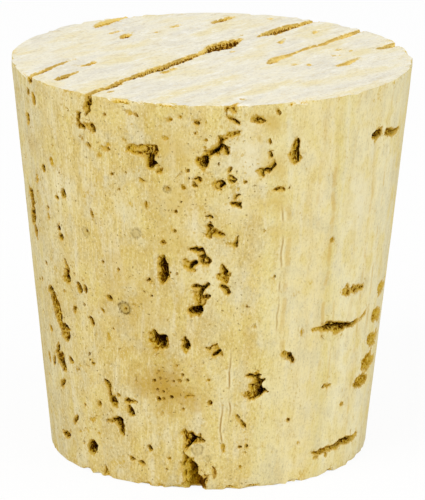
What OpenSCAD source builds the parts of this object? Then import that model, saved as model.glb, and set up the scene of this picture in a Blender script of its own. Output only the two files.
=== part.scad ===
// Tapered stopper cut from one block of natural cork.
//
// The origin is the middle of the narrow end and Z points up to the wide end.
// Lenticels, the dark pores of cork, all run along Y. They open as pits in the
// front (-Y) and the back, and lie open lengthwise as streaks in the +X and -X
// sides and as grooves in the two ends.
//
// Azimuths go round from the front (0) through +X (90) to the back (180).

/* [Body] */
// Diameter of the wide end
top_d = 38; // [26:0.5:60]
// Diameter of the narrow end
bottom_d = 30.5; // [20:0.5:56]
// Length from end to end
length = 38; // [26:0.5:60]
// Radius worn on the rim of each end
rim_wear = 0.25; // [0.1:0.05:1]

/* [Lenticels] */
// Width of a lenticel of middling size
lenticel_w = 1; // [0.6:0.05:1.3]
// Depth of the deepest pits in the side
pit_depth = 1.8; // [0.6:0.1:3]
// Width of the floor of a pit as a share of its mouth
pit_floor = 0.45; // [0.2:0.05:0.9]
// Depth of the deepest streaks in the side
streak_depth = 1.2; // [0.4:0.1:2]
// Depth of the deepest grooves in the ends
groove_depth = 1.3; // [0.4:0.1:2]
// Depth of the piece broken out of the rim of the narrow end
chip_depth = 1.2; // [0.5:0.1:2.5]

/* [Sides away from the front] */
// Number of strings of pits in the back
back_strings = 16; // [0:1:24]
// Number of streaks in the -X side
left_streaks = 7; // [0:1:12]
// Number of grooves in the narrow end
narrow_grooves = 7; // [0:1:12]

/* [Hidden] */
cork = [0.89, 0.81, 0.60];

// The lists below place the lenticels on a stopper of this length and this
// wide end. Their places are stretched to the real one, their widths are not.
PLAN_LENGTH = 38;
PLAN_TOP_D = 38;

reach = 1;           // how far each cutter stands out of the surface it enters
chip_ledge = 0.45;   // depth of the shallow part of the chip, as a share of the deep part's
pit_sides = 7;       // corners of a pit's outline
rim_steps = 3;       // facets in the worn round of a rim
body_fn = 128;

// Round pores of the front half: [azimuth, height, width, height of pit, depth, turn].
// Widths are in lenticel widths and depths a share of pit_depth. A positive
// turn tips the pit up to the right.
FRONT_PITS = [
    // left edge, upper part
    [-28.1, 36.4, 0.7, 0.5, 0.5, 10], [-24.8, 36.1, 1.2, 0.5, 0.3, -35],
    [-30.1, 33.6, 0.9, 0.9, 0.7, 30], [-22.5, 29.5, 0.9, 0.8, 0.7, 25],
    [-12.8, 27.7, 0.8, 1.0, 0.6, -40], [-16.3, 27.1, 0.5, 0.5, 0.5, 0],
    [-22.6, 25.6, 0.6, 0.35, 0.3, 20], [-17.1, 23.9, 0.7, 0.6, 0.6, 0],
    [-15.9, 23.1, 0.8, 0.8, 0.7, 20], [-27.3, 19.8, 0.8, 0.5, 0.4, 25],
    // upper part, right of the middle
    [32.4, 36.3, 0.7, 0.6, 0.5, 0], [27.4, 36.7, 0.7, 0.4, 0.2, -25],
    [41.7, 31.9, 0.4, 0.6, 0.35, 0], [46.4, 30.5, 0.7, 0.35, 0.2, 0],
    [59.3, 29.7, 0.4, 0.4, 0.3, 0], [16.7, 30.4, 0.8, 0.4, 0.2, -25],
    // middle
    [17.2, 20.8, 0.35, 0.6, 0.3, 0], [18.7, 19.2, 0.6, 0.35, 0.3, 0],
    [15.7, 19.5, 0.35, 0.3, 0.3, 0], [8.9, 17.8, 1.2, 1.2, 0.1, 0],
    [3.6, 18.3, 0.9, 0.5, 0.5, -42], [0.5, 16.9, 0.5, 0.6, 0.2, 0],
    [-14.2, 19.2, 0.9, 0.9, 0.9, -10], [-28.2, 13.0, 0.5, 1.0, 0.3, 0],
    [63.3, 13.1, 1.0, 0.9, 0.5, -20], [30.0, 9.5, 1.0, 0.25, 0.2, 0],
    // lower part
    [-12.8, 10.3, 0.4, 0.4, 0.3, 0], [-3.6, 7.4, 0.45, 0.8, 0.5, 0],
    [-12.7, 2.7, 0.6, 0.5, 0.4, 0], [16.0, 3.9, 0.7, 0.6, 0.7, 0],
    [9.7, 2.5, 0.9, 0.5, 0.5, 10], [13.3, 2.2, 0.8, 0.4, 0.5, -25],
    [22.9, 3.2, 0.6, 0.3, 0.2, 0], [47.6, 6.8, 0.4, 1.1, 0.3, 40],
    [47.2, 4.4, 0.7, 0.3, 0.3, 0], [14.3, 0.1, 1.0, 0.5, 0.3, 0],
    [19.5, 0.0, 0.9, 0.4, 0.3, 0], [-14.0, 0.0, 1.6, 0.3, 0.3, 0],
];

// Bent and branching pores of the front half, made of strokes that run into one another:
// [azimuth, height, strokes], with a stroke as [depth, rows] and a row as [distance along
// the side from that azimuth, height, width]. Depths are shares of pit_depth. A pore grows
// with lenticel_w from its own height.
FRONT_PORES = [
    // under the groove that leaves the wide end
    [0.5, 36, [
        [0.6, [[-0.1, 38.3, 0.3], [-0.1, 37.6, 0.2], [-0.15, 37.2, 0.35], [0.0, 36.5, 0.2]]],
        [0.3, [[0.0, 36.7, 0.2], [-0.2, 36.2, 0.3], [-0.3, 35.95, 0.2]]],
        [0.6, [[-1.0, 36.25, 0.12], [-1.4, 36.1, 0.25], [-1.35, 35.8, 0.3], [-1.4, 35.4, 0.2]]],
        [0.3, [[-1.6, 35.3, 0.4], [-1.45, 34.9, 0.5], [-1.5, 34.6, 0.3]]],
        [0.55, [[-1.05, 35.0, 0.25], [-1.0, 34.75, 0.35], [-0.75, 34.55, 0.2]]],
        [0.55, [[0.05, 35.2, 0.3], [0.2, 34.85, 0.25], [0.35, 34.5, 0.25]]]]],
    // the hooked pore high in the middle, two shallow lobes and a deep end
    [17, 33, [
        [0.2, [[-1.4, 33.3, 0.5], [-0.95, 33.45, 0.95], [-0.55, 33.4, 0.6]]],
        [0.2, [[-0.35, 33.55, 0.6], [0.3, 33.6, 0.75], [0.9, 33.55, 0.75], [1.3, 33.5, 0.5]]],
        [0.45, [[1.25, 33.85, 0.2], [1.25, 33.4, 0.3], [1.05, 33.0, 0.3]]],
        [0.95, [[0.7, 33.15, 0.3], [0.75, 32.65, 0.5], [0.7, 32.3, 0.6], [0.7, 31.95, 0.4]]],
        [0.85, [[0.7, 32.15, 0.5], [1.05, 32.2, 0.5], [1.35, 32.25, 0.25]]],
        [0.3, [[1.15, 31.5, 0.25], [1.5, 31.6, 0.3], [1.85, 31.8, 0.15]]]]],
    // the deepest pore and the bent one beside it
    [37, 33.5, [
        [1.0, [[-0.72, 33.0, 0.45], [-0.68, 32.65, 0.7], [-0.8, 32.2, 0.45]]],
        [0.3, [[-1.3, 33.0, 0.25], [-1.4, 32.75, 0.4], [-1.2, 32.45, 0.4], [-1.0, 32.2, 0.3]]],
        [0.75, [[-0.15, 33.35, 0.35], [0.2, 33.6, 0.45], [0.45, 34.0, 0.4], [0.8, 34.1, 0.35],
                [1.15, 33.85, 0.3], [1.2, 33.4, 0.2]]],
        [0.25, [[-0.75, 33.6, 0.2], [-0.45, 33.5, 0.3], [-0.1, 33.4, 0.35]]],
        [0.35, [[0.5, 34.1, 0.3], [0.6, 34.7, 0.3], [0.5, 35.15, 0.15]]]]],
    // the crack that runs down from the wide end
    [43, 37, [
        [0.5, [[-0.7, 37.1, 0.15], [-0.5, 36.85, 0.3], [-0.2, 36.65, 0.35], [0.1, 36.45, 0.35],
               [0.4, 36.15, 0.2]]],
        [0.35, [[-0.7, 37.0, 0.12], [-0.9, 37.4, 0.15], [-0.75, 37.75, 0.2], [-0.3, 38.3, 0.25]]],
        [0.3, [[-0.6, 35.15, 0.2], [-0.15, 35.25, 0.4], [0.35, 35.4, 0.15]]]]],
    [49.3, 36.5, [
        [0.45, [[-0.55, 36.5, 0.2], [-0.1, 36.55, 0.45], [0.35, 36.45, 0.5], [0.8, 36.45, 0.2]]]]],
    // the upright slot, deep along its right edge
    [61.3, 33, [
        [0.8, [[0.0, 34.35, 0.2], [0.1, 33.8, 0.3], [0.05, 33.2, 0.25], [0.0, 32.7, 0.2],
               [0.15, 32.1, 0.2]]],
        [0.3, [[-0.3, 34.1, 0.5], [-0.2, 33.5, 0.35], [-0.2, 32.9, 0.35], [-0.25, 32.4, 0.5],
               [-0.2, 32.0, 0.3]]]]],
    // left of the slot
    [53, 32, [
        [0.4, [[-0.2, 33.35, 0.15], [0.05, 33.05, 0.35], [0.1, 32.85, 0.2]]],
        [0.5, [[-1.05, 31.85, 0.15], [-0.8, 31.6, 0.3], [-0.4, 31.65, 0.3], [0.05, 31.6, 0.35],
               [0.3, 31.95, 0.3], [0.5, 32.25, 0.3]]],
        [0.5, [[-0.75, 31.6, 0.2], [-0.7, 31.2, 0.25]]],
        [0.35, [[0.6, 29.75, 0.15], [1.05, 29.75, 0.35], [1.45, 29.6, 0.2]]]]],
    // rings with a dark heart
    [40, 30.5, [
        [0.2, [[-0.05, 30.95, 0.12], [-0.45, 30.8, 0.15], [-0.6, 30.4, 0.15], [-0.45, 30.05, 0.15],
               [0.0, 29.9, 0.12]]],
        [0.8, [[-0.25, 30.85, 0.15], [0.0, 30.7, 0.25], [0.05, 30.45, 0.3], [-0.15, 30.2, 0.25]]],
        [0.3, [[0.5, 31.4, 0.2], [0.9, 31.15, 0.2], [1.25, 30.85, 0.2]]],
        [0.35, [[0.6, 30.75, 0.3], [0.9, 30.6, 0.3], [1.25, 30.55, 0.2]]]]],
    [32.5, 30.7, [
        [0.4, [[-0.25, 30.75, 0.15], [-0.05, 30.95, 0.2], [0.25, 30.9, 0.25], [0.35, 30.65, 0.3]]],
        [0.3, [[-0.2, 30.5, 0.3], [-0.15, 30.25, 0.3], [0.1, 30.15, 0.2]]]]],
    [45, 28.8, [
        [0.3, [[-0.6, 29.2, 0.2], [-0.3, 29.4, 0.12], [0.0, 29.4, 0.15]]],
        [0.5, [[-0.8, 28.7, 0.15], [-0.4, 28.75, 0.25], [-0.1, 28.5, 0.2], [0.2, 28.6, 0.12]]],
        [0.5, [[-0.4, 28.5, 0.12], [-0.1, 28.3, 0.3], [0.1, 28.0, 0.15]]]]],
    // the forked pore, and a ring and a slit beside it
    [38, 26, [
        [0.4, [[-0.75, 26.35, 0.2], [-0.5, 26.1, 0.45], [-0.5, 25.65, 0.35], [-0.55, 25.2, 0.35]]],
        [0.3, [[-0.45, 26.0, 0.35], [0.0, 25.85, 0.35], [0.4, 25.8, 0.4], [0.8, 25.6, 0.25]]],
        [0.3, [[-0.9, 27.3, 0.15], [-0.6, 27.35, 0.2], [-0.35, 27.1, 0.25]]],
        [0.55, [[2.05, 25.4, 0.12], [1.9, 25.0, 0.25], [1.75, 24.65, 0.3], [1.8, 24.3, 0.15]]],
        [0.2, [[1.0, 24.75, 0.12], [1.35, 24.65, 0.2], [1.7, 24.6, 0.2]]]]],
    // the open ring in the middle
    [32.5, 23, [
        [0.6, [[-0.65, 24.15, 0.2], [-0.3, 24.1, 0.25], [0.1, 24.0, 0.2], [0.45, 24.05, 0.3],
               [0.65, 23.75, 0.25], [0.55, 23.4, 0.35]]],
        [0.75, [[0.4, 23.4, 0.35], [0.75, 23.3, 0.35], [1.1, 23.05, 0.2]]],
        [0.5, [[0.6, 23.2, 0.3], [0.45, 22.8, 0.3], [0.6, 22.5, 0.25]]],
        [0.5, [[0.9, 23.2, 0.3], [1.05, 22.9, 0.3], [0.85, 22.6, 0.3]]],
        [1.0, [[-0.05, 22.8, 0.25], [-0.35, 22.6, 0.35], [-0.55, 22.2, 0.3]]],
        [0.2, [[-0.9, 23.1, 0.25], [-0.8, 22.75, 0.35], [-1.0, 22.35, 0.35], [-0.8, 22.0, 0.3]]]]],
    [40.7, 21.9, [
        [0.7, [[-0.4, 22.65, 0.1], [-0.1, 22.25, 0.2], [0.05, 21.9, 0.4], [-0.05, 21.55, 0.3]]],
        [0.2, [[-0.6, 21.7, 0.25], [-0.25, 21.35, 0.5], [0.2, 21.4, 0.45], [0.45, 21.7, 0.2]]]]],
    [41.2, 20.3, [
        [0.45, [[-0.4, 20.6, 0.2], [-0.05, 20.5, 0.35], [0.2, 20.2, 0.25], [0.2, 19.9, 0.2]]]]],
    // the tall oval pore
    [22, 21.8, [
        [0.75, [[0.1, 23.0, 0.25], [0.1, 22.5, 0.6], [0.05, 22.0, 0.7], [0.2, 21.5, 0.6],
                [0.1, 20.95, 0.45]]],
        [0.5, [[-0.1, 22.6, 0.3], [-0.3, 22.35, 0.5], [-0.1, 22.0, 0.3]]],
        [0.25, [[-0.4, 21.5, 0.3], [-0.2, 21.15, 0.4], [-0.15, 20.65, 0.4]]]]],
    // the knot of pores under the open ring
    [34, 20, [
        [0.6, [[-0.9, 20.5, 0.2], [-0.45, 20.55, 0.35], [-0.15, 20.3, 0.4], [0.05, 20.0, 0.45],
               [-0.15, 19.65, 0.4]]],
        [0.45, [[0.1, 20.2, 0.3], [0.35, 20.6, 0.4], [0.7, 20.65, 0.2]]],
        [0.35, [[0.1, 19.5, 0.25], [0.45, 19.5, 0.35], [0.8, 19.65, 0.2]]],
        [0.2, [[-0.7, 19.9, 0.4], [-0.4, 19.4, 0.6], [0.0, 19.1, 0.4]]],
        [1.0, [[-1.2, 17.95, 0.4], [-0.8, 18.05, 0.55], [-0.4, 18.15, 0.75], [-0.15, 18.35, 0.4]]],
        [0.3, [[-0.2, 18.3, 0.3], [-0.2, 18.8, 0.25], [-0.2, 19.05, 0.12]]]]],
    // the tall slit near the left edge
    [-34.5, 24.5, [
        [0.5, [[-0.7, 26.05, 0.2], [0.0, 26.2, 0.3], [0.6, 26.4, 0.15]]],
        [0.75, [[0.3, 26.0, 0.3], [0.4, 25.4, 0.45], [0.3, 24.8, 0.35]]],
        [0.8, [[-0.8, 23.9, 0.25], [0.0, 24.1, 0.45], [0.6, 24.4, 0.25]]],
        [0.7, [[-0.7, 23.2, 0.25], [0.0, 23.45, 0.45], [0.4, 23.75, 0.3]]],
        [0.25, [[0.3, 22.85, 0.3], [0.7, 22.4, 0.35]]],
        [0.22, [[-0.3, 25.95, 0.6], [-0.2, 25.3, 0.8], [0.0, 24.6, 0.7]]]]],
    // left of the middle, at half height
    [-9, 18, [
        [0.22, [[-1.7, 19.6, 0.4], [-1.5, 20.1, 0.3], [-1.5, 20.5, 0.25], [-1.7, 21.0, 0.2]]],
        [0.6, [[-0.1, 18.95, 0.3], [0.2, 18.7, 0.35], [0.1, 18.3, 0.35]]],
        [0.3, [[0.7, 19.25, 0.25], [0.8, 18.8, 0.35], [0.9, 18.4, 0.3]]],
        [0.35, [[-1.1, 16.6, 0.15], [-0.8, 16.4, 0.4], [-0.5, 16.6, 0.12]]],
        [0.7, [[1.1, 16.15, 0.25], [1.3, 15.9, 0.4], [1.4, 15.6, 0.4], [1.4, 15.2, 0.3]]]]],
    // the long slanting slit
    [-22, 15, [
        [0.9, [[-1.3, 17.3, 0.4], [-0.8, 17.3, 0.5], [-0.3, 16.95, 0.55], [-0.2, 16.4, 0.6],
               [0.15, 16.0, 0.55], [0.4, 15.5, 0.45], [0.5, 15.0, 0.5], [0.4, 14.4, 0.45]]],
        [0.22, [[-0.85, 16.7, 0.35], [-0.65, 16.0, 0.5], [-0.25, 15.4, 0.45], [0.0, 14.6, 0.45],
                [0.2, 13.9, 0.4]]],
        [0.95, [[0.4, 14.05, 0.3], [1.1, 14.2, 0.5], [1.65, 14.1, 0.25]]],
        [0.75, [[1.65, 13.6, 0.25], [1.5, 13.2, 0.45], [1.2, 12.95, 0.25]]],
        [0.25, [[0.3, 13.2, 0.2], [0.9, 13.5, 0.3]]]]],
    // the star below half height, and its neighbours
    [20.5, 15, [
        [0.95, [[-0.45, 15.8, 0.15], [-0.35, 15.45, 0.55], [-0.2, 15.1, 0.95], [0.0, 14.7, 0.85],
                [0.15, 14.35, 0.5], [0.3, 13.95, 0.15]]],
        [0.25, [[-0.9, 15.1, 0.25], [-0.65, 14.75, 0.4], [-0.2, 14.3, 0.4]]],
        [0.45, [[-0.2, 15.3, 0.5], [0.4, 15.2, 0.4], [0.8, 15.15, 0.2]]],
        [0.45, [[0.3, 14.9, 0.4], [0.45, 14.5, 0.3], [0.75, 14.25, 0.25]]]]],
    [29, 14.7, [
        [0.75, [[-0.2, 15.35, 0.15], [-0.2, 15.0, 0.3], [-0.05, 14.6, 0.45], [-0.05, 14.2, 0.35]]],
        [0.6, [[0.15, 15.0, 0.2], [0.2, 14.6, 0.3]]]]],
    [38.5, 14.2, [
        [0.6, [[-0.1, 13.7, 0.35], [0.15, 13.85, 0.3], [0.4, 14.15, 0.2]]],
        [0.25, [[0.6, 14.0, 0.2], [0.55, 13.6, 0.25]]],
        [0.25, [[-1.0, 14.5, 0.15], [-0.7, 14.35, 0.25], [-0.3, 14.55, 0.2], [0.0, 14.9, 0.1]]]]],
    // the ragged star at the lower right
    [52, 10.4, [
        [0.5, [[-1.05, 11.45, 0.12], [-0.6, 11.4, 0.25], [-0.2, 11.15, 0.35]]],
        [0.6, [[0.1, 11.4, 0.3], [0.1, 10.9, 0.6], [0.15, 10.4, 0.6], [0.15, 9.9, 0.9], [0.1, 9.5, 0.6]]],
        [1.0, [[0.0, 10.1, 0.25], [-0.05, 9.8, 0.45], [-0.2, 9.4, 0.4], [-0.25, 9.15, 0.2]]],
        [0.4, [[0.3, 10.85, 0.2], [0.85, 11.1, 0.15]]],
        [0.4, [[-0.75, 10.5, 0.15], [-0.4, 10.5, 0.3], [-0.1, 10.6, 0.3]]],
        [0.3, [[-1.0, 9.85, 0.2], [-0.7, 9.6, 0.6], [-0.6, 9.2, 0.3]]],
        [0.25, [[0.6, 10.0, 0.4], [1.05, 9.75, 0.2]]]]],
    // the thread of pores that runs down left of the middle
    [4, 7.5, [
        [0.6, [[-1.1, 10.1, 0.15], [-0.85, 9.8, 0.35], [-0.6, 9.5, 0.3]]],
        [0.5, [[-0.7, 9.4, 0.15], [-0.7, 8.9, 0.15], [-0.6, 8.4, 0.2]]],
        [0.95, [[-0.5, 8.15, 0.25], [-0.25, 8.05, 0.45], [0.0, 8.05, 0.2]]],
        [0.25, [[-0.6, 8.0, 0.3], [-0.35, 7.7, 0.3], [0.0, 7.6, 0.2]]],
        [1.0, [[-0.4, 6.15, 0.2], [-0.05, 6.35, 0.45], [0.3, 6.35, 0.4], [0.65, 6.35, 0.15]]],
        [0.9, [[0.1, 6.4, 0.5], [0.25, 6.0, 0.6], [0.4, 5.6, 0.5], [0.45, 5.2, 0.4], [0.65, 4.8, 0.15]]],
        [0.3, [[-1.25, 5.85, 0.15], [-1.0, 5.9, 0.25], [-0.4, 5.95, 0.12]]],
        [0.45, [[1.0, 8.4, 0.3], [1.3, 8.6, 0.35], [1.4, 8.3, 0.2]]],
        [0.25, [[1.5, 8.5, 0.12], [1.9, 8.5, 0.2], [2.3, 8.4, 0.12]]],
        [0.6, [[1.45, 7.8, 0.25], [1.55, 7.4, 0.5], [1.75, 7.0, 0.3]]]]],
    // left edge, lower part
    [-22.5, 8, [
        [0.65, [[-0.2, 11.9, 0.2], [-0.45, 11.6, 0.4], [-0.6, 11.2, 0.3]]],
        [0.3, [[-0.6, 11.0, 0.3], [-0.45, 10.5, 0.5], [-0.3, 10.0, 0.4]]],
        [0.85, [[0.2, 11.0, 0.3], [0.3, 10.7, 0.5], [0.2, 10.3, 0.6], [0.3, 9.9, 0.6], [0.6, 9.65, 0.35]]],
        [0.5, [[-1.4, 10.3, 0.25], [-1.6, 9.9, 0.4], [-1.9, 9.6, 0.2]]],
        [0.4, [[1.4, 10.9, 0.2], [1.75, 10.85, 0.35], [2.0, 10.8, 0.2]]],
        [0.3, [[-0.6, 7.7, 0.2], [-0.2, 8.1, 0.3], [0.4, 8.5, 0.15]]],
        [0.5, [[2.0, 5.4, 0.2], [1.8, 5.05, 0.3], [1.4, 4.7, 0.4], [1.2, 4.4, 0.2]]],
        [0.25, [[1.9, 4.6, 0.3], [1.8, 4.2, 0.3]]],
        [0.7, [[-1.1, 2.7, 0.2], [-0.6, 2.8, 0.45], [-0.2, 2.75, 0.5], [0.3, 2.9, 0.25]]]]],
    [-9, 2, [
        [0.95, [[0.35, 3.15, 0.4], [0.25, 2.8, 0.7], [0.1, 2.4, 0.6], [0.0, 2.1, 0.3]]],
        [0.5, [[0.4, 2.95, 0.3], [0.75, 3.0, 0.12]]],
        [0.4, [[1.65, 1.2, 0.25], [1.85, 0.8, 0.3], [2.0, 0.3, 0.6], [2.1, -0.6, 0.8]]]]],
    // the three-cornered pore above the chip, and a mark right of the chip
    [31.5, 4, [
        [0.3, [[-0.9, 6.0, 0.12], [-0.65, 5.6, 0.5], [-0.65, 5.2, 0.5], [-0.8, 4.9, 0.2]]],
        [0.85, [[-0.35, 5.6, 0.2], [0.0, 5.35, 0.3], [0.35, 5.3, 0.15]]],
        [0.8, [[0.1, 5.35, 0.25], [-0.2, 5.1, 0.35], [-0.5, 4.7, 0.2], [-0.7, 4.2, 0.1]]],
        [0.4, [[0.3, 5.25, 0.15], [0.6, 5.25, 0.25], [0.7, 5.6, 0.15]]],
        [0.35, [[0.5, 5.2, 0.2], [0.9, 5.05, 0.25]]],
        [0.3, [[1.75, 2.4, 0.15], [1.9, 1.9, 0.35], [2.0, 1.4, 0.35], [1.9, 0.9, 0.2]]]]],
];

// Streaks of the +X side: [azimuth of the middle, depth, rows], where a row is
// [distance along the side, height, width] and widths are in lenticel widths.
RIGHT_STREAKS = [
    [99, 0.9, [[-2.9, 33.2, 0.4], [-2.0, 33.3, 0.7], [-0.6, 33.2, 0.4],
               [0.5, 32.9, 0.5], [1.8, 32.6, 0.5], [3.2, 32.7, 0.2]]],
    [85, 0.5, [[-4.0, 15.2, 0.15], [-3.0, 15.2, 0.5], [-1.4, 15.2, 0.75], [0.0, 14.9, 0.55],
               [1.4, 14.8, 0.3], [3.0, 15.0, 0.25], [4.0, 15.5, 0.3], [4.6, 16.0, 0.15]]],
    [83, 1.0, [[-2.2, 15.25, 0.1], [-1.6, 15.45, 0.35], [-0.8, 15.2, 0.3], [0.1, 15.05, 0.35],
               [1.6, 14.8, 0.25], [2.8, 14.85, 0.1]]],
    [88, 0.2, [[-2.4, 18.3, 0.5], [-1.2, 18.3, 0.8], [0.6, 18.3, 0.6], [1.7, 18.1, 0.7], [2.3, 18.2, 0.3]]],
    [91, 0.6, [[-0.6, 18.1, 0.15], [0.4, 18.2, 0.3], [1.2, 18.1, 0.15]]],
    [89, 0.6, [[-4.4, 2.8, 0.1], [-3.0, 2.6, 0.3], [-1.4, 2.6, 0.4], [0.2, 2.8, 0.5],
               [1.8, 2.6, 0.6], [3.4, 2.7, 0.4], [4.4, 2.6, 0.2]]],
    [90, 1.0, [[-1.2, 2.75, 0.1], [0.0, 2.8, 0.3], [1.6, 2.7, 0.35], [2.8, 2.65, 0.15]]],
    [80, 0.4, [[-0.4, 9.3, 0.2], [0.0, 9.3, 0.3], [0.5, 9.3, 0.1]]],
    [111, 0.4, [[-1.2, 17.0, 0.3], [0.0, 16.8, 1.0], [1.6, 16.6, 0.6]]],
    [109, 0.45, [[-1.2, 14.5, 0.9], [0.2, 14.3, 1.1], [2.2, 13.9, 0.5]]],
    [108, 0.45, [[-1.6, 12.2, 0.6], [0.0, 11.9, 1.2], [2.0, 11.5, 0.7]]],
    [106, 0.5, [[-1.7, 9.9, 0.9], [0.0, 9.7, 1.1], [2.4, 9.5, 0.6]]],
    [101, 0.5, [[-1.2, 8.3, 0.7], [0.2, 8.2, 1.1], [1.8, 8.0, 0.6]]],
];

// Grooves of the wide end: [depth, rows], where a row is [y, x, width].
WIDE_GROOVES = [
    // the great groove, from the front rim to the middle of the back half
    [0.7, [[-19.6, 0.3, 0.5], [-17, -0.2, 0.6], [-15, -0.1, 0.8], [-13, -0.7, 0.5],
           [-11, -0.8, 0.7], [-9, -1.0, 0.9], [-7, -1.1, 1.3], [-5, -1.2, 0.8],
           [-3, -1.4, 1.0], [-1, -1.6, 0.8], [1, -1.7, 0.6], [2.2, -1.8, 1.2],
           [3.5, -1.9, 2.3], [5, -2.0, 2.0], [6.5, -2.3, 1.3], [8, -2.3, 0.3]]],
    [1.0, [[-8.6, -0.9, 0.4], [-7.2, -1.0, 0.9], [-5.6, -1.2, 0.5]]],
    [1.0, [[2.0, -1.6, 0.5], [3.6, -1.7, 1.4], [5.0, -1.8, 0.9]]],
    // its end at the back rim
    [0.6, [[9.5, -1.6, 0.3], [11.5, -1.5, 1.2], [13, -1.6, 1.4], [15, -1.7, 1.3],
           [17, -1.5, 0.8], [19.6, -1.2, 0.6]]],
    [0.9, [[11.3, -1.3, 0.4], [12.2, -1.3, 0.7], [13.4, -1.3, 0.4]]],
    // the groove right of it
    [0.5, [[1.0, 5.9, 0.3], [2, 5.5, 0.8], [3.5, 5.2, 0.8], [5, 5.3, 0.5],
           [7, 5.1, 0.3], [9, 4.9, 0.6], [11, 5.1, 0.4], [13, 4.9, 0.5],
           [15.5, 4.8, 0.9], [17, 4.7, 0.7], [19.6, 4.4, 0.5]]],
    [0.9, [[1.2, 5.7, 0.3], [2.2, 5.4, 0.5], [3.4, 5.2, 0.3]]],
    // short ones
    [0.8, [[4.4, 11.4, 0.3], [5.5, 11.5, 0.7], [7, 11.3, 0.5], [8.6, 10.9, 0.2]]],
    [0.9, [[12.6, 10.4, 0.5], [14, 10.5, 1.1], [16.5, 10.8, 1.2]]],
    [0.5, [[8.5, 1.6, 0.6], [9.5, 1.3, 0.4], [10.6, 1.0, 0.2]]],
    [0.4, [[13.8, 1.8, 0.3], [15, 1.5, 0.5], [15.8, 1.3, 0.2]]],
    [0.2, [[2.5, 9.3, 0.2], [3.3, 9.2, 0.4], [4.2, 9.0, 0.2]]],
    [0.3, [[-9.6, 0.8, 0.2], [-7, 0.3, 0.3], [-5, 0.4, 0.2]]],
    [0.5, [[11.2, -8.5, 0.4], [12.5, -8.5, 0.9], [14, -8.6, 0.8], [15.4, -8.7, 0.4]]],
    [0.5, [[0.5, -11.4, 0.4], [1.5, -11.6, 1.0], [2.5, -11.9, 0.6], [3.6, -12.2, 0.2]]],
    [0.5, [[2.7, -16.3, 0.4], [4.5, -16.7, 1.3], [6, -16.8, 1.0], [7.5, -16.7, 0.6],
           [10.5, -16.3, 0.6]]],
    [0.8, [[-16.5, -5.6, 0.6], [-15, -5.9, 0.8], [-14, -6.0, 0.5], [-12.4, -6.2, 0.2]]],
    [0.5, [[-18.5, -7.9, 0.5], [-15.5, -8.7, 0.6], [-14, -8.9, 0.6], [-12.5, -9.2, 0.4],
           [-10, -9.5, 0.3], [-8, -9.8, 0.2]]],
    [0.5, [[-10.9, -7.5, 0.7], [-10, -7.1, 0.3], [-9, -7.3, 0.7], [-8.2, -7.4, 0.3]]],
    [0.2, [[15.8, -4.8, 0.2], [16.6, -5.0, 0.4], [17.4, -5.3, 0.2]]],
    [0.5, [[-14.8, 13.2, 0.6], [-13.4, 12.6, 0.4], [-12.4, 12.4, 0.3], [-11, 12.1, 0.1]]],
];

// The piece broken out of the narrow end's rim: its azimuth, and the outlines of its shallow
// and its deep part on the side as [distance along the side, height].
CHIP_AZIMUTH = 31.5;
CHIP_OUTLINE = [[-0.6, -1], [-0.8, 0.4], [-0.9, 1.2], [-0.9, 2.1], [-1.3, 2.4], [-0.95, 2.9],
                [-1.0, 3.95], [-0.55, 3.1], [0.05, 2.7], [0.4, 2.1], [0.35, 1.6], [0.95, 1.1], [0.95, -1]];
CHIP_HEART = [[-0.45, -1], [-0.4, 0.8], [-0.5, 2.2], [-0.55, 2.85], [0.0, 2.55], [0.3, 2.05],
              [0.25, 1.5], [0.75, 0.9], [0.75, -1]];

function radius_at(z) = bottom_d / 2 + (top_d - bottom_d) / 2 * z / length;
function on_length(z) = z * length / PLAN_LENGTH;
function on_wide_end(v) = v * top_d / PLAN_TOP_D;
function arc(centre, r, from, to) =
    [for (i = [0:rim_steps]) let (a = from + (to - from) * i / rim_steps)
        centre + r * [cos(a), sin(a)]];
// outline of a band whose middle line and width are given row by row as [along, across, width]
function band(rows) = concat(
    [for (r = rows) [r[0], r[1] + r[2] / 2 * lenticel_w]],
    [for (i = [len(rows) - 1:-1:0]) [rows[i][0], rows[i][1] - rows[i][2] / 2 * lenticel_w]]);
// outline of a stroke given along its middle as [x, height, width], measured from a middle
// height and with pointed ends
function stroke_outline(rows, height) =
    let (n = len(rows),
         middle = [for (r = rows) [r[0], r[1] - height]],
         way = [for (i = [0:n - 1]) let (v = middle[min(i + 1, n - 1)] - middle[max(i - 1, 0)]) v / norm(v)],
         across = [for (i = [0:n - 1]) rows[i][2] / 2 * [-way[i][1], way[i][0]]])
    lenticel_w * concat(
        [middle[0] - way[0] * rows[0][2] / 2],
        [for (i = [0:n - 1]) middle[i] + across[i]],
        [middle[n - 1] + way[n - 1] * rows[n - 1][2] / 2],
        [for (i = [n - 1:-1:0]) middle[i] - across[i]]);
function ragged_outline(w, h, seed) =
    let (reach_out = rands(0.7, 1.2, pit_sides, seed), swing = rands(-12, 12, pit_sides, seed + 500))
    [for (i = [0:pit_sides - 1]) let (a = 360 / pit_sides * i + swing[i])
        [w / 2 * reach_out[i] * cos(a), h / 2 * reach_out[i] * sin(a)]];

// the uncut cone, with both rims worn round
module blank() {
    profile = concat(
        [[0, 0]],
        arc([bottom_d / 2 - rim_wear, rim_wear], rim_wear, -90, 0),
        arc([top_d / 2 - rim_wear, length - rim_wear], rim_wear, 0, 90),
        [[0, length]]);
    rotate_extrude($fn = body_fn) polygon(profile);
}

// stands its children at a place on the side, with X along the side to the right and Z up
module on_side(azimuth, z) {
    rotate([0, 0, azimuth]) translate([0, -radius_at(z), z]) children();
}

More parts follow.
